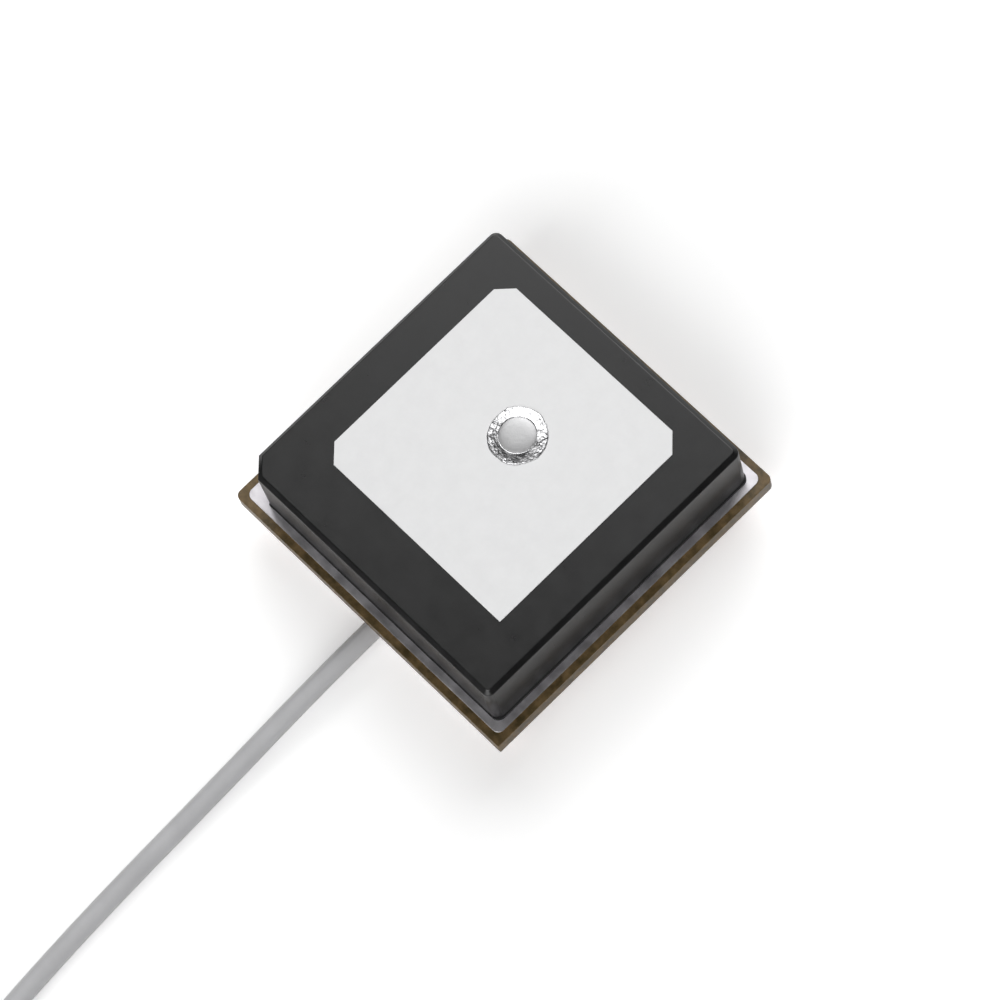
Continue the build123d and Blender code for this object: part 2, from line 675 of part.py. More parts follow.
with BuildPart() as cable_coil:
    with BuildSketch(Plane(origin=(coil_x, coil_y, 0), x_dir=(1, 0, 0), z_dir=(0, -1, 0))):
        with Locations((coil_mean_radius, coil_height / 2)):
            RectangleRounded(cable_diameter + 2 * coil_slack, coil_height, cable_diameter / 2)
    revolve(axis=Axis((coil_x, coil_y, 0), (0, 0, 1)))
    with BuildSketch(Plane(origin=cable_points[-1], z_dir=arrive)):
        Circle(cable_diameter / 2)
    extrude(amount=coil_stub)
    with BuildSketch(Plane(origin=ring_exit, z_dir=leave)):
        Circle(cable_diameter / 2)
    extrude(amount=coil_stub)
cable_coil.part.label = "cable_coil"
export_step(cable_coil.part, "parts/cable_coil.step")

# ---------------------------------------------------------------- last stretch of cable
tail_start = ring_exit + leave * coil_stub
tail_points = [
    tuple(tail_start),
    (tail_start.X + 2.4 * leave.X, tail_start.Y + 2.4 * leave.Y, z_cable_crossing),
    (tail_start.X + 6.4, tail_start.Y + 0.4, plug_axis_height),
    (tail_start.X + 8.8, tail_start.Y + 0.4, plug_axis_height),
]

with BuildPart() as cable_tail:
    with BuildLine() as tail_path:
        FilletPolyline(*tail_points, radius=bend_radii(tail_points))
    with BuildSketch(Plane(origin=tail_path.line @ 0, z_dir=tail_path.line % 0)):
        Circle(cable_diameter / 2)
    sweep(path=tail_path.line)
cable_tail.part.label = "cable_tail"
export_step(cable_tail.part, "parts/cable_tail.step")

# ---------------------------------------------------------------- plug
plug_x = tail_points[-1][0] + plug_jacket_reach
plug_y = tail_points[-1][1]
x_plug_jacket = tail_points[-1][0]
x_plug_braid = x_plug_jacket + plug_braid_length
x_plug_insulation = plug_x - plug_radius + plug_wall + joint_gap
plug_bore_radius = plug_radius - plug_wall


def draw_rod(outer, inner=0.0):
    """Adds a round section about the plug's cable axis to the open sketch."""
    with Locations((plug_y, plug_axis_height)):
        Circle(outer)
        if inner > 0:
            Circle(inner, mode=Mode.SUBTRACT)


with BuildPart() as plug_core:
    with BuildSketch(Plane.YZ.offset(x_plug_jacket)):
        draw_rod(core_radius)
    extrude(amount=plug_x - x_plug_jacket)
plug_core.part.label = "plug_core"
export_step(plug_core.part, "parts/plug_core.step")

with BuildPart() as plug_cable_insulation:
    with BuildSketch(Plane.YZ.offset(x_plug_jacket)):
        draw_rod(insulation_radius, core_radius + seat_gap)
    extrude(amount=x_plug_insulation - x_plug_jacket)
plug_cable_insulation.part.label = "plug_cable_insulation"
export_step(plug_cable_insulation.part, "parts/plug_cable_insulation.step")

with BuildPart() as plug_braid:
    with BuildSketch(Plane.YZ.offset(x_plug_jacket)):
        draw_rod(braid_radius, insulation_radius + seat_gap)
    extrude(amount=x_plug_braid - x_plug_jacket - joint_gap)
plug_braid.part.label = "plug_braid"
export_step(plug_braid.part, "parts/plug_braid.step")

with BuildPart() as plug_shell:
    with BuildSketch(Plane.XY):
        with Locations((plug_x, plug_y)):
            Circle(plug_radius)
    extrude(amount=plug_height)
    fillet(plug_shell.faces().sort_by(Axis.Z)[-1].edges(), plug_roof)
    with BuildSketch(Plane.XY):
        with Locations((plug_x, plug_y)):
            Circle(plug_bore_radius)
    extrude(amount=plug_height - plug_roof, mode=Mode.SUBTRACT)
    with Locations((plug_x - plug_radius, plug_y, plug_slot_sill)):
        Box(4 * plug_wall, plug_slot_width, plug_height - plug_roof - plug_slot_sill,
            align=above, mode=Mode.SUBTRACT)
    strip_top = plug_axis_height - cable_diameter / 2 - joint_gap
    strip_end = x_plug_jacket - jacket_crimp_end_gap - jacket_crimp_length
    with Locations((strip_end, plug_y, strip_top)):
        Box(plug_x - plug_radius + plug_wall / 2 - strip_end, plug_strip_width,
            plug_strip_thickness, align=(Align.MIN, Align.CENTER, Align.MAX))
    with BuildSketch(Plane.YZ.offset(strip_end)):
        jacket_grip = cable_diameter / 2 + joint_gap
        draw_rod(jacket_grip + crimp_wall, jacket_grip)
        with Locations((plug_y, plug_axis_height + jacket_grip)):
            Rectangle(crimp_seam, 4 * crimp_wall, mode=Mode.SUBTRACT)
    extrude(amount=jacket_crimp_length)
    with BuildSketch(Plane.YZ.offset(x_plug_jacket + joint_gap)):
        braid_grip = braid_radius + joint_gap
        draw_rod(braid_grip + crimp_wall, braid_grip)
        with Locations((plug_y, plug_axis_height + braid_grip)):
            Rectangle(crimp_seam, 4 * crimp_wall, mode=Mode.SUBTRACT)
    extrude(amount=braid_crimp_length)
plug_shell.part.label = "plug_shell"
export_step(plug_shell.part, "parts/plug_shell.step")

with BuildPart() as plug_insulator:
    with BuildSketch(Plane.XY.offset(plug_slot_sill)):
        with Locations((plug_x, plug_y)):
            Circle(plug_bore_radius - joint_gap)
            Circle(plug_socket_radius + seat_gap, mode=Mode.SUBTRACT)
    extrude(amount=plug_height - plug_roof - joint_gap - plug_slot_sill)
    with Locations((plug_x, plug_y, plug_axis_height)):
        Box(2 * plug_bore_radius, 2 * (core_radius + joint_gap),
            2 * (core_radius + joint_gap), align=(Align.MAX, Align.CENTER, Align.CENTER),
            mode=Mode.SUBTRACT)
plug_insulator.part.label = "plug_insulator"
export_step(plug_insulator.part, "parts/plug_insulator.step")

with BuildPart() as plug_socket:
    with BuildSketch(Plane.XY.offset(plug_socket_lift)):
        with Locations((plug_x, plug_y)):
            Circle(plug_socket_radius)
    extrude(amount=plug_axis_height - core_radius - plug_socket_lift)
    with BuildSketch(Plane.XY.offset(plug_socket_lift)):
        with Locations((plug_x, plug_y)):
            Circle(plug_socket_bore_radius)
    extrude(amount=plug_slot_sill - plug_socket_lift, mode=Mode.SUBTRACT)
plug_socket.part.label = "plug_socket"
export_step(plug_socket.part, "parts/plug_socket.step")

# ---------------------------------------------------------------- what the build prints
cable_length = sum(edge.length for edge in cable_path.edges())
tail_length = sum(edge.length for edge in tail_path.edges())
coil_length = 2 * pi * coil_mean_radius * coil_turns + 2 * coil_stub
section = pi * cable_diameter ** 2 / 4
print("cable bend radii:", [round(radius, 1) for radius in bend_radii(cable_points)])
print("tail bend radii:", [round(radius, 1) for radius in bend_radii(tail_points)])
print("cable volume over section x length:",
      round(antenna_cable.part.volume / (section * cable_length), 5),
      round(cable_tail.part.volume / (section * tail_length), 5))
print("jacketed cable length:", round(cable_length + coil_length + tail_length, 2))
print("cable points:", [tuple(round(value, 3) for value in point) for point in cable_points])
print("coil centre, entry angle:", round(coil_x, 3), round(coil_y, 3),
      round(degrees(arrive_angle), 2))
print("tail points:", [tuple(round(value, 3) for value in point) for point in tail_points])
print("plug centre:", round(plug_x, 3), round(plug_y, 3))
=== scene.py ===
"""A satellite-navigation receiving head: ceramic patch, amplifier board, can and pigtail."""

import json
import logging
import math
import random
from dataclasses import dataclass, field
from enum import Enum

import bmesh
import bpy
from mathutils import Matrix, Vector

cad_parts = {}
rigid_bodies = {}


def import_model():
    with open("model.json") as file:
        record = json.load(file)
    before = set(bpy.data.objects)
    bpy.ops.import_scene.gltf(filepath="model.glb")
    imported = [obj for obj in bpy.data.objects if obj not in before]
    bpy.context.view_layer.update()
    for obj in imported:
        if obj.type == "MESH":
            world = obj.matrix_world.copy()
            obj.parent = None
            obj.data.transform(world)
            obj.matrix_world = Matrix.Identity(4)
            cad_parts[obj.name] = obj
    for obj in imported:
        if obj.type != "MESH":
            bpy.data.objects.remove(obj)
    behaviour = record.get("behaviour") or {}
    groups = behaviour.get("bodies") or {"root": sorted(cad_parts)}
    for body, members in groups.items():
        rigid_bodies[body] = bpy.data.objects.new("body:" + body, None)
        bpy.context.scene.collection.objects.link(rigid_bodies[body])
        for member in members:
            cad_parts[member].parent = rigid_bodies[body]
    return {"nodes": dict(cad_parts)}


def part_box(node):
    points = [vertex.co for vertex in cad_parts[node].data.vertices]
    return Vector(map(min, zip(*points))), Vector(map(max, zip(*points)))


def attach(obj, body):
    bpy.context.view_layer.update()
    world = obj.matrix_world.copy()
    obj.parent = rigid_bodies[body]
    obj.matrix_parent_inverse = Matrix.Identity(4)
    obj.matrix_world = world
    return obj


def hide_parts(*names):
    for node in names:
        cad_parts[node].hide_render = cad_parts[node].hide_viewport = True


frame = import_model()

logging.basicConfig(level=logging.INFO, format="%(message)s")
LOG = logging.getLogger("receiver")

MM = 0.001
ROOT_BODY = "root"

# Mottling and relief that all finishes share.
MOTTLE_DETAIL = 6.0
MOTTLE_ROUGHNESS = 0.65
MOTTLE_RAMP = (0.34, 0.66)
SHEEN_RANGE = (0.3, 0.7)
LOWEST_ROUGHNESS = 0.02
GRAIN_DETAIL = 4.0
WEAVE_DISTORTION = 1.0

# Slabs with broken edges.
SHOULDER_SHARE = 0.3      # where the middle row of a broken edge lies
FOIL_EASE_SHARE = 0.4     # broken edge of a thin layer, as a share of its thickness
FLAT_CUT_SHRINK = 0.586   # how fast a 45 degree cut's leg shrinks as its outline is inset
SMALLEST_CUT_SHARE = 0.1
CORNER_STEPS = 8
NORMAL_WEIGHT = 100


class Grain(Enum):
    """The kind of small surface relief that a finish carries."""

    FINE = "fine"
    FLAKED = "flaked"
    WOVEN = "woven"


@dataclass(frozen=True)
class Finish:
    """One surface finish, worked out in object space so that it stays on the piece.

    Attributes:
        name: The material's name.
        dark: Darker of the two mottling colours, linear RGB.
        light: Lighter of the two mottling colours, linear RGB.
        roughness: Middle roughness.
        spread: How far the roughness strays either side of the middle.
        metallic: One for bare metal, zero for the rest.
        scale: Mottles per metre.
        grain: The kind of relief.
        grain_scale: Relief features per metre.
        depth: Height of the relief in metres.
        coat: Weight of a clear, smooth top layer.
    """

    name: str
    dark: tuple[float, float, float]
    light: tuple[float, float, float]
    roughness: float
    spread: float = 0.06
    metallic: float = 0.0
    scale: float = 900.0
    grain: Grain = Grain.FINE
    grain_scale: float = 6000.0
    depth: float = 0.000004
    coat: float = 0.0

    def build(self) -> bpy.types.Material:
        """Makes the node material.

        Returns:
            The finished material.
        """
        material = bpy.data.materials.new(self.name)
        material.use_nodes = True
        nodes = material.node_tree.nodes
        links = material.node_tree.links
        shader = nodes["Principled BSDF"]
        shader.inputs["Metallic"].default_value = self.metallic
        shader.inputs["Coat Weight"].default_value = self.coat
        place = nodes.new("ShaderNodeTexCoord").outputs["Object"]

        mottle = nodes.new("ShaderNodeTexNoise")
        mottle.inputs["Scale"].default_value = self.scale
        mottle.inputs["Detail"].default_value = MOTTLE_DETAIL
        mottle.inputs["Roughness"].default_value = MOTTLE_ROUGHNESS
        links.new(place, mottle.inputs["Vector"])
        ramp = nodes.new("ShaderNodeValToRGB")
        ramp.color_ramp.elements[0].position = MOTTLE_RAMP[0]
        ramp.color_ramp.elements[0].color = (*self.dark, 1.0)
        ramp.color_ramp.elements[1].position = MOTTLE_RAMP[1]
        ramp.color_ramp.elements[1].color = (*self.light, 1.0)
        links.new(mottle.outputs["Fac"], ramp.inputs["Fac"])
        links.new(ramp.outputs["Color"], shader.inputs["Base Color"])

        sheen = nodes.new("ShaderNodeMapRange")
        sheen.inputs["From Min"].default_value = SHEEN_RANGE[0]
        sheen.inputs["From Max"].default_value = SHEEN_RANGE[1]
        sheen.inputs["To Min"].default_value = max(LOWEST_ROUGHNESS,
                                                   self.roughness - self.spread)
        sheen.inputs["To Max"].default_value = min(1.0, self.roughness + self.spread)
        links.new(mottle.outputs["Fac"], sheen.inputs["Value"])
        links.new(sheen.outputs["Result"], shader.inputs["Roughness"])

        bump = nodes.new("ShaderNodeBump")
        bump.inputs["Distance"].default_value = self.depth
        bump.inputs["Strength"].default_value = 1.0
        links.new(self._relief(nodes, links, place), bump.inputs["Height"])
        links.new(bump.outputs["Normal"], shader.inputs["Normal"])
        LOG.info("finish %s", self.name)
        return material

    def _relief(
        self,
        nodes: bpy.types.Nodes,
        links: bpy.types.NodeLinks,
        place: bpy.types.NodeSocket,
    ) -> bpy.types.NodeSocket:
        """Makes the height pattern of the grain.

        Args:
            nodes: The material's nodes.
            links: The material's links.
            place: Object-space coordinates.

        Returns:
            The socket that carries the height.
        """
        if self.grain is Grain.FLAKED:
            cells = nodes.new("ShaderNodeTexVoronoi")
            cells.feature = "F1"
            cells.inputs["Scale"].default_value = self.grain_scale
            links.new(place, cells.inputs["Vector"])
            return cells.outputs["Distance"]
        if self.grain is Grain.WOVEN:
            weave = nodes.new("ShaderNodeTexWave")
            weave.bands_direction = "DIAGONAL"
            weave.inputs["Scale"].default_value = self.grain_scale
            weave.inputs["Distortion"].default_value = WEAVE_DISTORTION
            links.new(place, weave.inputs["Vector"])
            return weave.outputs["Fac"]
        fine = nodes.new("ShaderNodeTexNoise")
        fine.inputs["Scale"].default_value = self.grain_scale
        fine.inputs["Detail"].default_value = GRAIN_DETAIL
        links.new(place, fine.inputs["Vector"])
        return fine.outputs["Fac"]


CERAMIC = Finish("fired_ceramic", (0.006, 0.006, 0.0062), (0.009, 0.009, 0.0092), 0.30,
                 spread=0.03, grain_scale=5000.0, depth=0.0000015)
FIRED_SILVER = Finish("fired_silver", (0.81, 0.812, 0.815), (0.85, 0.852, 0.855), 0.62,
                      metallic=0.2, grain_scale=14000.0, depth=0.000002)
TIN = Finish("bright_tin", (0.66, 0.64, 0.67), (0.82, 0.80, 0.83), 0.42, spread=0.1,
             metallic=0.9, scale=900.0, grain_scale=1500.0, depth=0.000009)
PIN_TIN = Finish("pin_tin", (0.52, 0.52, 0.525), (0.60, 0.60, 0.605), 0.5, metallic=0.8,
                 scale=900.0, grain_scale=5000.0, depth=0.000005)
SOLDER = Finish("bright_solder", (0.52, 0.52, 0.53), (0.80, 0.80, 0.81), 0.3, spread=0.14,
                metallic=1.0, scale=2600.0, grain_scale=3600.0, depth=0.00005)
LAMINATE = Finish("glass_laminate", (0.050, 0.034, 0.009), (0.170, 0.110, 0.045), 0.46,
                  scale=1500.0, grain=Grain.WOVEN, grain_scale=700.0, depth=0.000006,
                  coat=0.15)
FOAM_TAPE = Finish("foam_tape", (0.010, 0.010, 0.011), (0.022, 0.022, 0.023), 0.8,
                   grain=Grain.FLAKED, grain_scale=5000.0, depth=0.00001)
TIN_PLATE = Finish("tin_plate", (0.55, 0.55, 0.565), (0.68, 0.68, 0.69), 0.3, spread=0.08,
                   metallic=1.0, scale=350.0, grain_scale=2500.0, depth=0.000004)
COPPER = Finish("copper_foil", (0.62, 0.30, 0.17), (0.80, 0.45, 0.30), 0.35, metallic=1.0)
MASK = Finish("solder_mask_green", (0.010, 0.09, 0.035), (0.018, 0.14, 0.055), 0.3,
              scale=400.0, coat=0.4)
MOULDING = Finish("chip_moulding", (0.016, 0.016, 0.017), (0.030, 0.030, 0.031), 0.6,
                  scale=4000.0, grain_scale=12000.0)
TITANATE = Finish("titanate", (0.33, 0.22, 0.13), (0.44, 0.32, 0.21), 0.5, scale=3000.0)
ALUMINA = Finish("alumina", (0.66, 0.67, 0.68), (0.78, 0.79, 0.80), 0.5, scale=3000.0)
GOLD = Finish("gold_flash", (0.78, 0.54, 0.22), (0.90, 0.68, 0.34), 0.28, metallic=1.0,
              scale=800.0, depth=0.000003)
JACKET = Finish("grey_jacket", (0.47, 0.47, 0.48), (0.53, 0.53, 0.54), 0.32, scale=260.0,
                grain_scale=2600.0, depth=0.000006, coat=0.12)
WHITE_WIRE = Finish("wire_insulation", (0.74, 0.74, 0.72), (0.84, 0.84, 0.82), 0.45)
SILVER_WIRE = Finish("silver_wire", (0.70, 0.70, 0.70), (0.86, 0.86, 0.86), 0.25,
                     metallic=1.0, grain=Grain.WOVEN, grain_scale=4000.0, depth=0.00001)
POLYMER = Finish("plug_polymer", (0.62, 0.60, 0.53), (0.74, 0.72, 0.66), 0.5)

CAD_FINISHES: dict[Finish, tuple[str, ...]] = {
    FIRED_SILVER: ("base_electrode",),
    FOAM_TAPE: ("adhesive_tape",),
    PIN_TIN: ("capacitor_ends", "resistor_ends", "inductor_ends", "bead_ends",
              "surge_clamp_leads", "amplifier_leads"),
    SOLDER: ("pin_tip_solder", "can_solder", "braid_solder", "core_solder"),
    COPPER: ("ground_vias", "underside_ground", "signal_tracks"),
    MASK: ("solder_mask",),
    TIN_PLATE: ("shield_can",),
    MOULDING: ("resistors", "ferrite_bead", "surge_clamp", "input_amplifier",
               "output_amplifier"),
    TITANATE: ("capacitors",),
    ALUMINA: ("inductors", "band_filter"),
    GOLD: ("band_filter_lid", "plug_shell", "plug_socket"),
    WHITE_WIRE: ("cable_insulation", "plug_cable_insulation"),
    SILVER_WIRE: ("cable_core", "cable_braid", "plug_core", "plug_braid"),
    POLYMER: ("plug_insulator",),
}


class FinishShelf:
    """Keeps one built material for each finish."""

    def __init__(self) -> None:
        """Starts with an empty shelf."""
        self._made: dict[str, bpy.types.Material] = {}

    def get(self, finish: Finish) -> bpy.types.Material:
        """Gives a finish's material, and builds it at its first use.

        Args:
            finish: The finish wanted.

        Returns:
            The material.
        """
        if finish.name not in self._made:
            self._made[finish.name] = finish.build()
        return self._made[finish.name]


SHELF = FinishShelf()


def dress(piece: bpy.types.Object, finish: Finish) -> None:
    """Gives a whole piece one finish.

    Args:
        piece: A CAD node or a modelled piece.
        finish: Its finish.
    """
    piece.data.materials.clear()
    piece.data.materials.append(SHELF.get(finish))


def new_piece(name: str, shape: bmesh.types.BMesh, finish: Finish,
              nodes: tuple[str, ...]) -> bpy.types.Object:
    """Turns a bmesh into a piece that rides on the body and stands for CAD nodes.

    Args:
        name: The piece's name.
        shape: The shape, in metres in the shared frame. It is freed.
        finish: The piece's finish.
        nodes: CAD nodes that the piece replaces.

    Returns:
        The new object.
    """
    bmesh.ops.recalc_face_normals(shape, faces=shape.faces)
    mesh = bpy.data.meshes.new(name)
    shape.to_mesh(mesh)
    shape.free()
    piece = bpy.data.objects.new(name, mesh)
    bpy.context.scene.collection.objects.link(piece)
    dress(piece, finish)
    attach(piece, ROOT_BODY)
    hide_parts(*nodes)
    LOG.info("piece %s: %d faces", name, len(mesh.polygons))
    return piece


def soften(piece: bpy.types.Object) -> None:
    """Shades a piece smooth while its large faces stay flat.

    Args:
        piece: The piece.
    """
    for other in bpy.context.view_layer.objects:
        other.select_set(False)
    bpy.context.view_layer.objects.active = piece
    piece.select_set(True)
    piece.data.shade_smooth()
    weighted = piece.modifiers.new("flat_faces", "WEIGHTED_NORMAL")
    weighted.weight = NORMAL_WEIGHT
    bpy.ops.object.modifier_apply(modifier=weighted.name)


def eased_levels(low: float, high: float, ease: float) -> list[tuple[float, float]]:
    """The inset and height of each row of a slab with softly broken edges.

    Args:
        low: Height of the bottom face.
        high: Height of the top face.
        ease: Size of the broken edge.

    Returns:
        Inset and height pairs from the bottom to the top.
    """
    part = SHOULDER_SHARE * ease
    return [(ease, low), (part, low + part), (0.0, low + ease), (0.0, high - ease),
            (part, high - part), (ease, high)]


def cornered_outline(low: Vector, high: Vector,
                     cuts: tuple[float, float, float, float],
                     rounded: tuple[bool, bool, bool, bool]) -> list[tuple[float, float]]:
    """A rectangle whose corners are each cut flat or rounded.

    Args:
        low: Lowest corner of the rectangle.
        high: Highest corner of the rectangle.
        cuts: Leg or radius at (-x,-y), (+x,-y), (+x,+y) and (-x,+y).
        rounded: Whether each of those corners is round.

    Returns:
        The outline, counter-clockwise.
    """
    signs = ((-1, -1), (1, -1), (1, 1), (-1, 1))
    outline = []
    for index, (sx, sy) in enumerate(signs):
        corner = (high.x if sx > 0 else low.x, high.y if sy > 0 else low.y)
        cut = cuts[index]
        steps = CORNER_STEPS if rounded[index] else 1
        centre = (corner[0] - sx * cut, corner[1] - sy * cut)
        start = math.radians(180 + 90 * index)
        for step in range(steps + 1):
            angle = start + math.radians(90) * step / steps
            outline.append((centre[0] + cut * math.cos(angle),
                            centre[1] + cut * math.sin(angle)))
    return outline


def stacked_slab(low: Vector, high: Vector, cuts: tuple[float, float, float, float],
                 rounded: tuple[bool, bool, bool, bool],
                 levels: list[tuple[float, float]]) -> bmesh.types.BMesh:
    """Makes an upright slab whose outline is inset by a set amount at each level.

    Args:
        low: Lowest corner of the slab's box.
        high: Highest corner of the slab's box.
        cuts: Leg or radius at each corner, as cornered_outline takes them.
        rounded: Whether each corner is round.
        levels: Inset and height pairs from the bottom to the top.

    Returns:
        The closed slab.
    """
    shape = bmesh.new()
    rows = []
    for inset, height in levels:
        shift = Vector((inset, inset, 0.0))
        shrunk = tuple(max(SMALLEST_CUT_SHARE * cut,
                           cut - inset * (1.0 if is_round else FLAT_CUT_SHRINK))
                       for cut, is_round in zip(cuts, rounded))
        outline = cornered_outline(low + shift, high - shift, shrunk, rounded)
        rows.append([shape.verts.new((x, y, height)) for x, y in outline])
    count = len(rows[0])
    for lower, upper in zip(rows, rows[1:]):
        for i in range(count):
            after = (i + 1) % count
            shape.faces.new((lower[i], lower[after], upper[after], upper[i]))
    shape.faces.new(list(reversed(rows[0])))
    shape.faces.new(rows[-1])
    return shape


@dataclass
class Patch:
    """The ceramic block with its fired silver patch."""

    edge_chamfer: float = 0.25 * MM
    corner_radius: float = 0.45 * MM
    key_chamfer: float = 0.95 * MM
    ease: float = 0.04 * MM
    back_left_cut: float = 0.83 * MM
    back_right_cut: float = 0.92 * MM
    front_left_cut: float = 0.90 * MM
    sharp_corner: float = 0.03 * MM

    def build(self) -> None:
        """Builds and dresses the block and the electrode."""
        self._block()
        self._electrode()

    def _block(self) -> None:
        """Makes the chamfered ceramic block."""
        low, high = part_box("ceramic_block")
        cuts = (self.key_chamfer, self.corner_radius, self.corner_radius,
                self.corner_radius)
        rounded = (False, True, True, True)
        edge = self.edge_chamfer
        ease = self.ease
        part = SHOULDER_SHARE * ease
        levels = [(ease, low.z), (0.0, low.z + ease), (0.0, high.z - edge - ease),
                  (part, high.z - edge + part), (ease, high.z - edge + ease),
                  (edge - ease, high.z - ease), (edge - part, high.z - part),
                  (edge + ease, high.z)]
        shape = stacked_slab(low, high, cuts, rounded, levels)
        soften(new_piece("ceramic_body", shape, CERAMIC, ("ceramic_block",)))

    def _electrode(self) -> None:
        """Makes the silver patch with its tuning cuts and softly broken edges."""
        low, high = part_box("top_electrode")
        cuts = (self.front_left_cut, self.sharp_corner, self.back_right_cut,
                self.back_left_cut)
        flat = (False, False, False, False)
        levels = eased_levels(low.z, high.z, FOIL_EASE_SHARE * (high.z - low.z))
        shape = stacked_slab(low, high, cuts, flat, levels)
        soften(new_piece("silver_patch", shape, FIRED_SILVER, ("top_electrode",)))


@dataclass
class Feed:
    """The domed pin head and the ring of solder round it.

    Attributes:
        head_rim: Straight side of the CAD pin's head.
        rim_share: Share of that side that the drawn head keeps.
        dome_share: Share of the CAD dome's height that the drawn dome keeps.
        dome_power: How square the dome's shoulder is; one is an ellipse.
        dome_steps: Steps from the dome's rim to its top.
        shank_share: The shank's radius as a share of the head's.
        axis_gap: Radius left open at the axis before the end faces close it.
        turn_steps: Steps round the pin.
        ring_ripple: How far the solder's rim wanders inwards.
        ring_lap: How far the solder reaches under the head.
        ring_steps: Steps round the ring.
        ring_rows: Rows from the head to the solder's rim.
        rim_height: Height near the solder's rim, as a share of the whole.
        climb: Extra height at the head, as a share of the whole.
        climb_power: How sharply the solder climbs to the head.
        curl_height: Share by which the crinkles raise and lower the solder.
        curl_turns: Crinkles for each ripple of the rim.
        curl_shift: How far the crinkles twist from the head to the rim, in radians.
        ripple_counts: Ripples round the rim, one number for each wave.
        ripple_fade: How fast the finer waves weaken.
        seed: Seed of the random draws.
        waves: Count, weight and phase of each wave.
    """

    head_rim: float = 0.12 * MM
    rim_share: float = 0.6
    dome_share: float = 0.5
    dome_power: float = 0.8
    dome_steps: int = 15
    shank_share: float = 0.44
    axis_gap: float = 0.001 * MM
    turn_steps: int = 96
    ring_ripple: float = 0.13 * MM
    ring_lap: float = 0.02 * MM
    ring_steps: int = 240
    ring_rows: int = 14
    rim_height: float = 0.36
    climb: float = 0.5
    climb_power: float = 1.6
    curl_height: float = 0.16
    curl_turns: int = 3
    curl_shift: float = 9.0
    ripple_counts: tuple[int, ...] = (3, 5, 7, 11, 16, 23, 31)
    ripple_fade: float = 0.55
    seed: int = 7
    waves: list[tuple[int, float, float]] = field(default_factory=list)

    def __post_init__(self) -> None:
        """Draws the ripples of the solder's rim from a seeded source."""
        source = random.Random(self.seed)
        for count in self.ripple_counts:
            self.waves.append((count,
                               source.uniform(0.4, 1.0) / count ** self.ripple_fade,
                               source.uniform(0.0, 2.0 * math.pi)))

    def build(self) -> None:
        """Builds and dresses the head and the ring."""
        self._head()
        self._ring()

    def _wave(self, angle: float) -> float:
        """The rim's ripple, from about minus one to one.

        Args:
            angle: Angle about the pin.

        Returns:
            The ripple there.
        """
        total = sum(weight * math.sin(count * angle + phase)
                    for count, weight, phase in self.waves)
        return total / sum(weight for _, weight, _ in self.waves)

    def _head(self) -> None:
        """Makes the pin with its domed head."""
        low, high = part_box("feed_pin")
        ring_low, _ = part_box("pin_head_solder")
        centre = (low + high) / 2
        radius = (high.x - low.x) / 2
        dome = high.z - ring_low.z - self.head_rim
        shank = self.shank_share * radius
        profile = [(self.axis_gap, low.z), (shank, low.z), (shank, ring_low.z),
                   (radius, ring_low.z)]
        for step in range(self.dome_steps + 1):
            turn = math.radians(90) * step / self.dome_steps
            height = (self.head_rim * self.rim_share
                      + self.dome_share * dome * math.sin(turn))
            profile.append((radius * math.cos(turn) ** self.dome_power + self.axis_gap,
                            ring_low.z + height))
        head = new_piece("pin_head", self._lathe(profile, centre, self.turn_steps),
                         PIN_TIN, ("feed_pin",))
        head.data.shade_smooth()

    def _lathe(self, profile: list[tuple[float, float]], centre: Vector,
               steps: int) -> bmesh.types.BMesh:
        """Turns a profile about the pin's axis.

        Args:
            profile: Radius and height pairs from the bottom to the top.
            centre: A point on the axis.
            steps: Steps round the axis.

        Returns:
            The turned shape.
        """
        shape = bmesh.new()
        rows = []
        for radius, height in profile:
            rows.append([shape.verts.new((
                centre.x + radius * math.cos(2 * math.pi * i / steps),
                centre.y + radius * math.sin(2 * math.pi * i / steps), height))
                for i in range(steps)])
        for lower, upper in zip(rows, rows[1:]):
            for i in range(steps):
                after = (i + 1) % steps
                shape.faces.new((lower[i], lower[after], upper[after], upper[i]))
        shape.faces.new(list(reversed(rows[0])))
        shape.faces.new(rows[-1])
        return shape

    def _ring(self) -> None:
        """Makes the crinkled solder fillet round the head."""
        low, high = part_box("pin_head_solder")
        head_low, head_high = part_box("feed_pin")
        centre = (low + high) / 2
        outer = (high.x - low.x) / 2
        inner = (head_high.x - head_low.x) / 2 - self.ring_lap
        tall = high.z - low.z
        shape = bmesh.new()
        rows = []
        for row in range(self.ring_rows + 1):
            share = row / self.ring_rows
            ring = []
            for i in range(self.ring_steps):
                angle = 2 * math.pi * i / self.ring_steps
                ripple = self._wave(angle)
                reach = outer - self.ring_ripple * (0.5 - 0.5 * ripple)
                radius = inner + (reach - inner) * share
                curl = self._wave(angle * self.curl_turns + self.curl_shift * share)
                height = tall * (self.rim_height
                                 + self.climb * (1 - share) ** self.climb_power)
                height *= 1.0 + self.curl_height * curl * math.sin(math.pi * share)
                if row == self.ring_rows:
                    height = 0.0
                ring.append(shape.verts.new((centre.x + radius * math.cos(angle),
                                             centre.y + radius * math.sin(angle),
                                             low.z + min(height, tall))))
            rows.append(ring)
        base = [shape.verts.new((v.co.x, v.co.y, low.z)) for v in rows[0]]
        rows.insert(0, base)
        for lower, upper in zip(rows, rows[1:]):
            for i in range(self.ring_steps):
                after = (i + 1) % self.ring_steps
                shape.faces.new((lower[i], lower[after], upper[after], upper[i]))
        for i in range(self.ring_steps):
            after = (i + 1) % self.ring_steps
            shape.faces.new((rows[-1][i], rows[-1][after], base[after], base[i]))
        ring_piece = new_piece("solder_ring", shape, SOLDER, ("pin_head_solder",))
        ring_piece.data.shade_smooth()


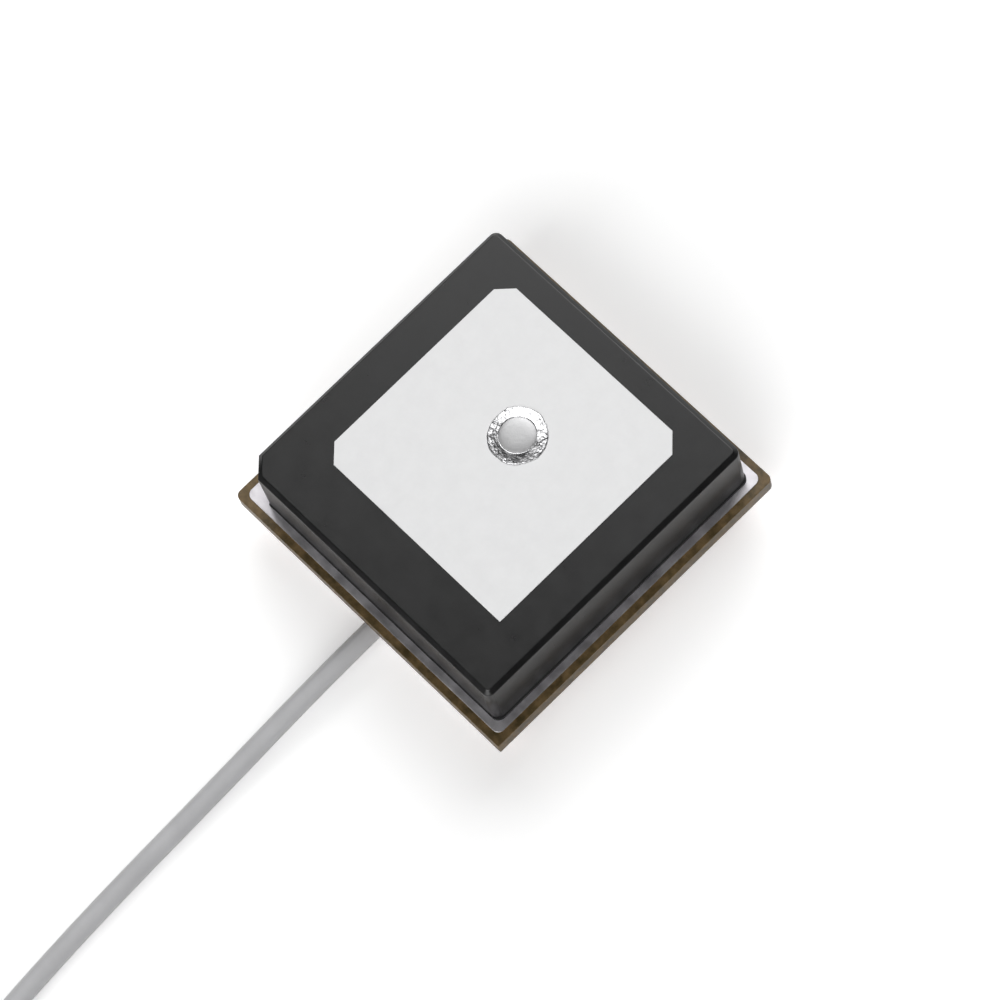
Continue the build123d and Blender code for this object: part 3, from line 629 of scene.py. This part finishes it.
@dataclass
class Board:
    """The bare laminate board with its tinned top plane."""

    corner_radius: float = 0.35 * MM
    sharp_corner: float = 0.08 * MM
    plane_corner: float = 0.4 * MM
    edge_softness: float = 0.03 * MM

    def build(self) -> None:
        """Builds and dresses the laminate and the plane."""
        low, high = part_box("circuit_board")
        cuts = (self.corner_radius, self.sharp_corner, self.corner_radius,
                self.corner_radius)
        all_round = (True, True, True, True)
        levels = eased_levels(low.z, high.z, self.edge_softness)
        shape = stacked_slab(low, high, cuts, all_round, levels)
        soften(new_piece("laminate_board", shape, LAMINATE, ("circuit_board",)))
        low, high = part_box("tinned_plane")
        cuts = (self.plane_corner,) * 4
        levels = eased_levels(low.z, high.z, FOIL_EASE_SHARE * (high.z - low.z))
        shape = stacked_slab(low, high, cuts, all_round, levels)
        soften(new_piece("tinned_surface", shape, TIN, ("tinned_plane",)))


@dataclass
class Pigtail:
    """The thin coaxial cable, from its stripped end to the plug."""

    diameter: float = 1.13 * MM
    jacket_length: float = 100.4 * MM
    coil_radius: float = 6.2 * MM
    coil_turns: float = 1.25
    coil_stub: float = 4.2 * MM
    coil_step: float = math.radians(30)
    lying: float = 0.575 * MM
    crossing: float = 1.715 * MM
    plug_axis: float = 1.0 * MM
    rise_turn: float = 0.4
    tail_bend: float = 0.0024
    tail_level: float = 0.0064
    tail_end: float = 0.0088
    tail_aside: float = 0.0004
    along_steps: int = 12
    round_steps: int = 8
    first_points: tuple[tuple[float, float, float], ...] = (
        (0.0001, -0.0074, 0.001585),
        (0.0001, -0.0128, 0.001585),
        (0.00016, -0.0215, 0.000695),
        (0.00045, -0.0318, 0.000575),
        (0.00135, -0.0418, 0.000575),
    )
    plug_nodes: tuple[str, ...] = ("plug_core", "plug_cable_insulation", "plug_braid",
                                   "plug_shell", "plug_insulator", "plug_socket")

    def route(self) -> list[Vector]:
        """The control points of the whole cable.

        Returns:
            The points, from the stripped end to the plug.
        """
        points = [Vector(point) for point in self.first_points]
        arrive = (points[-1] - points[-2]).normalized()
        heading = math.atan2(arrive.y, arrive.x)
        entry = points[-1] + arrive * self.coil_stub
        centre = entry + self.coil_radius * Vector((-math.sin(heading),
                                                    math.cos(heading), 0.0))
        total = 2 * math.pi * self.coil_turns
        reach = self.coil_radius / math.cos(self.coil_step / 2)
        for number in range(round(total / self.coil_step)):
            turned = (number + 0.5) * self.coil_step
            angle = heading - math.pi / 2 + turned
            share = min(1.0, max(0.0, turned / (2 * math.pi) / self.rise_turn - 1.0))
            rise = share * share * (3 - 2 * share)
            height = self.lying + (self.crossing - self.lying) * rise
            points.append(Vector((centre.x + reach * math.cos(angle),
                                  centre.y + reach * math.sin(angle), height)))
        return points + self._tail(centre, heading + total)

    def _tail(self, centre: Vector, heading: float) -> list[Vector]:
        """The points from the coil to the plug.

        Args:
            centre: The coil's centre.
            heading: The direction in which the cable leaves the coil.

        Returns:
            The tail's points.
        """
        leave = Vector((math.cos(heading), math.sin(heading), 0.0))
        start = Vector((centre.x, centre.y, self.crossing))
        start += self.coil_radius * Vector((math.sin(heading), -math.cos(heading), 0.0))
        start += leave * self.coil_stub
        bend = start + self.tail_bend * leave
        beside = start.y + self.tail_aside
        return [start, bend,
                Vector((start.x + self.tail_level, beside, self.plug_axis)),
                Vector((start.x + self.tail_end, beside, self.plug_axis))]

    def build(self) -> None:
        route = self.route()
        curve = bpy.data.curves.new("coax_cable", "CURVE")
        curve.dimensions = "3D"
        line = curve.splines.new("NURBS")
        line.points.add(len(route) - 1)
        for point, place in zip(line.points, route):
            point.co = (*place, 1.0)
        line.order_u = 3
        line.use_endpoint_u = True
        line.resolution_u = self.along_steps
        curve.bevel_depth = self.diameter / 2
        curve.bevel_resolution = self.round_steps
        curve.use_fill_caps = True
        cable = bpy.data.objects.new("coax_cable", curve)
        bpy.context.scene.collection.objects.link(cable)
        cable.data.materials.append(SHELF.get(JACKET))
        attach(cable, ROOT_BODY)
        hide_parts("antenna_cable", "cable_coil", "cable_tail")
        LOG.info("piece coax_cable: %d points", len(route))


@dataclass
class Viewpoint:
    """The camera, by where it stands round the object."""

    azimuth: float = 65.48
    elevation: float = 68.88
    roll: float = -20.91
    distance: float = 258.1 * MM
    target_height: float = 5.0 * MM
    aside: float = 0.108 * MM
    upward: float = -1.269 * MM
    focal_length: float = 179.4
    sensor_width: float = 36.0
    clip_start: float = 0.01
    clip_end: float = 10.0

    def build(self) -> None:
        """Makes the camera and gives it to the scene."""
        azimuth, elevation, roll = (math.radians(value) for value in
                                    (self.azimuth, self.elevation, self.roll))
        back = Vector((math.cos(elevation) * math.sin(azimuth),
                       -math.cos(elevation) * math.cos(azimuth), math.sin(elevation)))
        level = Vector((math.cos(azimuth), math.sin(azimuth), 0.0))
        upright = back.cross(level)
        right = level * math.cos(roll) + upright * math.sin(roll)
        up = upright * math.cos(roll) - level * math.sin(roll)
        target = Vector((0.0, 0.0, self.target_height))
        target += right * self.aside + up * self.upward
        data = bpy.data.cameras.new("camera")
        data.lens = self.focal_length
        data.sensor_width = self.sensor_width
        data.clip_start = self.clip_start
        data.clip_end = self.clip_end
        camera = bpy.data.objects.new("camera", data)
        turn = Matrix((right, up, back)).transposed().to_4x4()
        camera.matrix_world = Matrix.Translation(target + back * self.distance) @ turn
        bpy.context.scene.collection.objects.link(camera)
        bpy.context.scene.camera = camera
        LOG.info("camera placed")


@dataclass(frozen=True)
class Softbox:
    """One rectangular soft light that looks at the object.

    Attributes:
        name: The light's name.
        place: Where it stands, in metres.
        size: Its side, in metres.
        power: Its power, in watts.
    """

    name: str
    place: tuple[float, float, float]
    size: float
    power: float

    def build(self) -> None:
        """Makes the light."""
        data = bpy.data.lights.new(self.name, "AREA")
        data.shape = "SQUARE"
        data.size = self.size
        data.energy = self.power
        light = bpy.data.objects.new(self.name, data)
        light.location = self.place
        light.rotation_mode = "QUATERNION"
        light.rotation_quaternion = Vector(self.place).to_track_quat("Z", "Y")
        bpy.context.scene.collection.objects.link(light)
        LOG.info("light %s", self.name)


@dataclass
class Studio:
    """The pale floor, the world and the soft lights."""

    floor_half: float = 3.0
    floor_drop: float = 0.00002
    floor_roughness: float = 0.9
    floor_colour: tuple[float, float, float, float] = (0.93, 0.93, 0.93, 1.0)
    horizon: float = 0.30
    zenith: float = 0.98
    floor_glow: float = 0.30
    lights: tuple[Softbox, ...] = (
        Softbox("back_soft", (-0.34, 0.40, 0.52), 0.60, 4.1),
        Softbox("front_soft", (0.26, -0.48, 0.42), 0.60, 4.3),
    )

    def build(self) -> None:
        """Makes the floor, the world and the lights."""
        self._floor()
        self._world()
        for light in self.lights:
            light.build()

    def _floor(self) -> None:
        """Makes the floor just under the object."""
        shape = bmesh.new()
        half = self.floor_half
        shape.faces.new([shape.verts.new((x, y, -self.floor_drop)) for x, y in
                         ((-half, -half), (half, -half), (half, half), (-half, half))])
        mesh = bpy.data.meshes.new("floor")
        shape.to_mesh(mesh)
        shape.free()
        material = bpy.data.materials.new("pale_floor")
        material.use_nodes = True
        nodes = material.node_tree.nodes
        links = material.node_tree.links
        shader = nodes["Principled BSDF"]
        shader.inputs["Base Color"].default_value = self.floor_colour
        shader.inputs["Roughness"].default_value = self.floor_roughness
        shader.inputs["Specular IOR Level"].default_value = 0.0
        glow = nodes.new("ShaderNodeEmission")
        rays = nodes.new("ShaderNodeLightPath")
        seen = nodes.new("ShaderNodeMath")
        seen.operation = "MULTIPLY"
        seen.inputs[1].default_value = self.floor_glow
        links.new(rays.outputs["Is Camera Ray"], seen.inputs[0])
        links.new(seen.outputs[0], glow.inputs["Strength"])
        both = nodes.new("ShaderNodeAddShader")
        links.new(shader.outputs[0], both.inputs[0])
        links.new(glow.outputs[0], both.inputs[1])
        links.new(both.outputs[0], nodes["Material Output"].inputs["Surface"])
        mesh.materials.append(material)
        floor = bpy.data.objects.new("floor", mesh)
        bpy.context.scene.collection.objects.link(floor)

    def _world(self) -> None:
        """Gives a surround that is bright overhead, dim low down, and shows as white."""
        world = bpy.data.worlds.new("surround")
        bpy.context.scene.world = world
        world.use_nodes = True
        nodes = world.node_tree.nodes
        links = world.node_tree.links
        sky = nodes["Background"]
        rays = nodes.new("ShaderNodeLightPath")
        place = nodes.new("ShaderNodeTexCoord")
        parts = nodes.new("ShaderNodeSeparateXYZ")
        links.new(place.outputs["Generated"], parts.inputs["Vector"])
        climb = nodes.new("ShaderNodeMapRange")
        climb.inputs["To Min"].default_value = self.horizon
        climb.inputs["To Max"].default_value = self.zenith
        links.new(parts.outputs["Z"], climb.inputs["Value"])
        level = nodes.new("ShaderNodeMix")
        level.data_type = "FLOAT"
        level.inputs["B"].default_value = 1.0
        links.new(rays.outputs["Is Camera Ray"], level.inputs["Factor"])
        links.new(climb.outputs["Result"], level.inputs["A"])
        links.new(level.outputs["Result"], sky.inputs["Strength"])


def dress_frame() -> None:
    """Gives each CAD node that stays visible its finish."""
    for finish, nodes in CAD_FINISHES.items():
        for node in nodes:
            dress(frame["nodes"][node], finish)
            LOG.info("dressed %s", node)


def main() -> None:
    """Builds the scene in order: camera, cable, pieces, studio."""
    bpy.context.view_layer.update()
    scene = bpy.context.scene
    scene.view_settings.view_transform = "Standard"
    Viewpoint().build()
    Pigtail().build()
    dress_frame()
    Patch().build()
    Feed().build()
    Board().build()
    Studio().build()
    bpy.context.view_layer.update()


if __name__ == "__main__":
    main()
